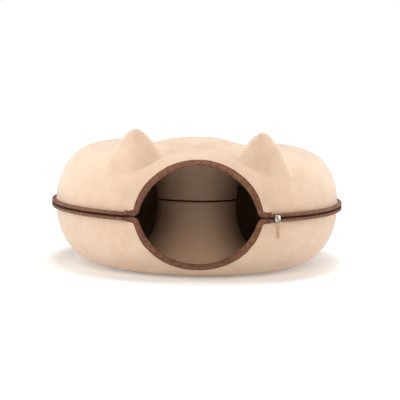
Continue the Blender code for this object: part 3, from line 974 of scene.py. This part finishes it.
def noise_node(material, places, scale, detail, roughness=0.5, distortion=0.0):
    node = add_node(material, "ShaderNodeTexNoise")
    set_inputs(node, Scale=scale, Detail=detail, Roughness=roughness, Distortion=distortion)
    link(material, places, node.inputs["Vector"])
    return node.outputs["Fac"]


def math_node(material, operation, first, second=None):
    node = add_node(material, "ShaderNodeMath", operation=operation)
    for socket, value in zip(node.inputs, (first, second)):
        if value is None:
            continue
        if isinstance(value, (int, float)):
            socket.default_value = value
        else:
            link(material, value, socket)
    return node.outputs[0]


def scaled(material, value, factor):
    return math_node(material, "MULTIPLY", value, factor)


def ramp_node(material, value, stops):
    """Stops are places from 0 to 1, each with a colour."""
    node = add_node(material, "ShaderNodeValToRGB")
    ramp = node.color_ramp
    while len(ramp.elements) < len(stops):
        ramp.elements.new(0.5)
    for element, (position, colour) in zip(ramp.elements, stops):
        element.position = position
        element.color = (*colour, 1.0)
    link(material, value, node.inputs["Fac"])
    return node.outputs["Color"]


def mix_node(material, share, first, second):
    """Mixes two colours: the share is the second one's."""
    node = add_node(material, "ShaderNodeMix", data_type="RGBA")
    link(material, share, node.inputs[0])
    for socket, value in ((node.inputs[6], first), (node.inputs[7], second)):
        if isinstance(value, tuple):
            socket.default_value = (*value, 1.0)
        else:
            link(material, value, socket)
    return node.outputs[2]


def bump_node(material, shader, height, strength, distance):
    node = add_node(material, "ShaderNodeBump")
    set_inputs(node, Strength=strength, Distance=distance)
    link(material, height, node.inputs["Height"])
    link(material, node.outputs["Normal"], shader.inputs["Normal"])


def fibre_lines(material, places, scale, width):
    """Thin curved lines: 1 on a fibre and 0 beside it."""
    value = noise_node(material, places, scale, 2.0, 0.5, 1.6)
    from_line = math_node(material, "ABSOLUTE", math_node(material, "SUBTRACT", value, 0.5))
    return math_node(material, "SUBTRACT", 1.0, math_node(
        material, "MINIMUM", math_node(material, "DIVIDE", from_line, width), 1.0))


def felt_material():
    material, shader = new_material("beige felt", 0.95, sheen=0.18)
    places = object_places(material)
    mottling = noise_node(material, places, *FELT_MOTTLING)
    colour = ramp_node(material, mottling,
                       [(0.30, FELT_DARK), (0.50, FELT_MIDDLE), (0.72, FELT_LIGHT)])
    broad = noise_node(material, places, *FELT_BROAD)
    colour = mix_node(material, scaled(material, broad, 0.5), colour, FELT_MIDDLE)
    light_fibres = fibre_lines(material, places, *LIGHT_FIBRES)
    dark_fibres = fibre_lines(material, places, *DARK_FIBRES)
    colour = mix_node(material, scaled(material, light_fibres, 0.30), colour, FELT_FIBRE_LIGHT)
    colour = mix_node(material, scaled(material, dark_fibres, 0.22), colour, FELT_FIBRE_DARK)
    link(material, colour, shader.inputs["Base Color"])
    fuzz = noise_node(material, places, *FELT_FUZZ)
    clumps = noise_node(material, places, *FELT_CLUMPS)
    height = math_node(material, "ADD", scaled(material, fuzz, 0.5), clumps)
    height = math_node(material, "ADD", height, scaled(material, light_fibres, 0.35))
    bump_node(material, shader, height, *FELT_BUMP)
    return material


def woven_material(name, dark, middle, light, pitch, sheen=0.0):
    """Woven tape: threads along and across, laid by the piece's own length and width."""
    material, shader = new_material(name, 0.85, sheen=sheen)
    weave = add_node(material, "ShaderNodeUVMap", uv_map="weave").outputs["UV"]
    apart = add_node(material, "ShaderNodeSeparateXYZ")
    link(material, weave, apart.inputs[0])
    turn = 2 * math.pi / pitch
    along = math_node(material, "SINE", scaled(material, apart.outputs[0], turn))
    slanted = math_node(material, "ADD", scaled(material, apart.outputs[0], turn),
                        scaled(material, apart.outputs[1], 2 * turn))
    twill = math_node(material, "SINE", slanted)
    threads = scaled(material, math_node(material, "ADD", along, twill), 0.25)
    threads = math_node(material, "ADD", threads, 0.5)
    places = object_places(material)
    mottling = noise_node(material, places, *WEAVE_MOTTLING)
    colour = ramp_node(material, mottling, [(0.28, dark), (0.5, middle), (0.75, light)])
    colour = mix_node(material, scaled(material, threads, 0.30), colour, light)
    fuzz = fibre_lines(material, places, *WEAVE_FUZZ)
    colour = mix_node(material, scaled(material, fuzz, 0.25), colour, light)
    link(material, colour, shader.inputs["Base Color"])
    height = math_node(material, "ADD", threads, scaled(material, mottling, 0.8))
    bump_node(material, shader, height, *WEAVE_BUMP)
    return material


def grained_material(name, dark, light, roughness, grain=THREAD_GRAIN, bump=THREAD_BUMP,
                     metallic=0.0):
    """Two colours mixed by a fine noise, which the surface follows too."""
    material, shader = new_material(name, roughness, metallic)
    value = noise_node(material, object_places(material), *grain)
    colour = ramp_node(material, value, [(0.3, dark), (0.7, light)])
    link(material, colour, shader.inputs["Base Color"])
    bump_node(material, shader, value, *bump)
    return material


FELT_MATERIAL = felt_material()
TAPE_MATERIAL = woven_material("brown tape", (0.155, 0.068, 0.039), (0.250, 0.121, 0.0725),
                               (0.400, 0.228, 0.148), pitch=0.0011, sheen=0.12)
PULL_MATERIAL = woven_material("beige strip", (0.44, 0.32, 0.22), (0.56, 0.42, 0.31),
                               (0.72, 0.57, 0.44), pitch=0.0009, sheen=0.2)
THREAD_MATERIAL = grained_material("brown thread", (0.060, 0.026, 0.017), (0.140, 0.070, 0.048),
                                   roughness=0.7)
COIL_MATERIAL = grained_material("nylon coil", (0.070, 0.034, 0.022), (0.130, 0.066, 0.045),
                                 roughness=0.4)
METAL_MATERIAL = grained_material("nickel", (0.62, 0.59, 0.56), (0.84, 0.81, 0.78),
                                  roughness=0.28, grain=(300.0, 6.0, 0.7), bump=(0.15, 0.0001),
                                  metallic=1.0)
STRIP_MATERIAL = woven_material("dark strip", (0.060, 0.029, 0.019), (0.095, 0.047, 0.031),
                                (0.150, 0.080, 0.056), pitch=0.0010)


def dress(piece, material, slot, *nodes):
    piece.data.materials.append(material)
    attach(piece, "root")
    if nodes:
        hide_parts(*nodes)
    return piece


upper_felt = dress(felt_half("felt_upper", UPPER), FELT_MATERIAL, "felt", "upper_half")
lower_felt = dress(felt_half("felt_lower", LOWER), FELT_MATERIAL, "felt", "lower_half")
upper_binding = dress(arch_binding("binding_upper", UPPER, 1.0), TAPE_MATERIAL, "tape",
                      "upper_arch_binding")
lower_binding = dress(arch_binding("binding_lower", LOWER, 2.0), TAPE_MATERIAL, "tape",
                      "lower_arch_binding")
upper_tape = dress(zip_tape("tape_upper", UPPER, 3.0), TAPE_MATERIAL, "tape", "upper_zip_tape")
lower_tape = dress(zip_tape("tape_lower", LOWER, 4.0), TAPE_MATERIAL, "tape", "lower_zip_tape")
coil_tape = dress(coil_strip("coil_strip"), STRIP_MATERIAL, "coil", "zip_coil")
coil_turns = dress(zip_teeth(), COIL_MATERIAL, "coil")
hole_strip = dress(seam_strip("seam_strip"), STRIP_MATERIAL, "coil", "hole_seam_strip")
for label, sides in (("upper", UPPER), ("lower", LOWER)):
    arch_trim = [arch_stitches(f"arch_stitches_{label}", sides),
                 frayed_ends(f"frayed_ends_{label}", sides, sides[0].sign)]
    zip_thread = lip_stitches(f"zip_stitches_{label}", sides)
    joints = [joint_tape(f"joint_tape_{label}_{way}", half)
              for way, half in zip(("right", "left"), sides)]
    for piece in [*arch_trim, zip_thread]:
        dress(piece, THREAD_MATERIAL, "tape")
    for piece in joints:
        dress(piece, TAPE_MATERIAL, "tape")

dress(slider_body("slider_body"), METAL_MATERIAL, "metal", "zip_slider")
dress(slider_bridge("slider_bridge"), METAL_MATERIAL, "metal")
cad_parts["slider_loop"].data.materials[0] = METAL_MATERIAL
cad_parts["slider_pull"].data.materials[0] = PULL_MATERIAL


# Camera, floor and light

# Angles in degrees. The floor's glow is where it starts and ends, then its strength at both
CAMERA_DISTANCE = 2.50
CAMERA_HEIGHT = 0.41
CAMERA_PITCH = 6.41
CAMERA_YAW = -0.15
CAMERA_ROLL = 0.9
CAMERA_ORBIT = -0.65
FOCAL_PIXELS = 1167.0
PHOTO_PIXELS = 400
SENSOR = 36.0
FLOOR_HALF = 9.0
FLOOR_BASE = 0.78
# The floor's glow is painted light: faint near the bed, where it lightens the bed's shadow, and
# full far away
FLOOR_GLOW = (1.2, 2.6, 0.24, 1.0)
LIGHT_DISTANCE = 2.8
LIGHT_SIZE = 1.6
LIGHT_TARGET = 0.10
# Each light: degrees to the right of the entrance, degrees up, watts and colour
LIGHTS = (
    ("left", -80, 12, 36.5, (0.98, 1.0, 1.02)),
    ("front", 0, 35, 28.5, (1.10, 1.0, 0.90)),
    ("top", 0, 89, 48.0, (0.96, 1.0, 1.04)),
    ("right", 80, 12, 20.5, WHITE),
    ("right_side", 105, 14, 17.0, WHITE),
    ("right_rear", 120, 35, 6.4, WHITE),
    ("back_right", 150, 45, 18.0, (0.94, 1.0, 1.08)),
    ("left_rear", -120, 35, 16.5, WHITE),
)


def rotation(degrees, axis):
    return Matrix.Rotation(math.radians(degrees), 4, axis)


def add_camera():
    data = bpy.data.cameras.new("camera")
    data.sensor_width = SENSOR
    data.lens = SENSOR * FOCAL_PIXELS / PHOTO_PIXELS
    camera = add_object("camera", data)
    turn = rotation(CAMERA_YAW, "Z") @ rotation(90 - CAMERA_PITCH, "X") @ rotation(CAMERA_ROLL, "Z")
    camera.matrix_world = (Matrix.Translation((0, AXIS_Y, 0)) @ rotation(CAMERA_ORBIT, "Z")
                           @ Matrix.Translation((0, -CAMERA_DISTANCE, CAMERA_HEIGHT)) @ turn)
    bpy.context.scene.camera = camera


def add_floor():
    """A wide pale floor, lit like paper near the bed, where a faint painted glow lightens the bed's
    shadow, and glowing plain white far from it.
    """
    mesh = bpy.data.meshes.new("glowing floor")
    mesh.from_pydata([(-FLOOR_HALF, -FLOOR_HALF, 0.0), (FLOOR_HALF, -FLOOR_HALF, 0.0),
                      (FLOOR_HALF, FLOOR_HALF, 0.0), (-FLOOR_HALF, FLOOR_HALF, 0.0)],
                     [], [(0, 1, 2, 3)])
    piece = add_object("glowing floor", mesh)
    material, shader = new_material("glowing floor", 0.95)
    set_inputs(shader, Base_Color=(FLOOR_BASE, FLOOR_BASE, FLOOR_BASE, 1.0),
               Emission_Color=(*WHITE, 1.0), Specular_IOR_Level=0.0)
    length = add_node(material, "ShaderNodeVectorMath", operation="LENGTH")
    link(material, object_places(material), length.inputs[0])
    glow = add_node(material, "ShaderNodeMapRange", interpolation_type="SMOOTHSTEP")
    for socket, value in zip(("From Min", "From Max", "To Min", "To Max"), FLOOR_GLOW):
        glow.inputs[socket].default_value = value
    link(material, length.outputs["Value"], glow.inputs["Value"])
    link(material, glow.outputs["Result"], shader.inputs["Emission Strength"])
    piece.data.materials.append(material)


def add_softbox(name, azimuth, elevation, power, colour):
    """A round soft light that faces the bed, from these degrees to the right and up."""
    around = math.radians(azimuth)
    up = math.radians(elevation)
    way = Vector((math.cos(up) * math.sin(around), -math.cos(up) * math.cos(around), math.sin(up)))
    data = bpy.data.lights.new(name, "AREA")
    data.shape = "DISK"
    data.size = LIGHT_SIZE
    data.energy = power
    data.color = colour
    light = add_object(name, data)
    light.location = Vector((0, 0, LIGHT_TARGET)) + way * LIGHT_DISTANCE
    light.rotation_euler = way.to_track_quat("Z", "Y").to_euler()


def add_world():
    """A white surrounding that only the camera sees, so it gives no light."""
    world = bpy.data.worlds.new("studio")
    world.use_nodes = True
    background = world.node_tree.nodes["Background"]
    background.inputs["Color"].default_value = (*WHITE, 1.0)
    rays = world.node_tree.nodes.new("ShaderNodeLightPath")
    world.node_tree.links.new(rays.outputs["Is Camera Ray"], background.inputs["Strength"])
    bpy.context.scene.world = world


add_camera()
add_floor()
for light_row in LIGHTS:
    add_softbox(*light_row)
add_world()
view = bpy.context.scene.view_settings
view.view_transform = "Standard"
view.look = "None"
view.gamma = 0.75
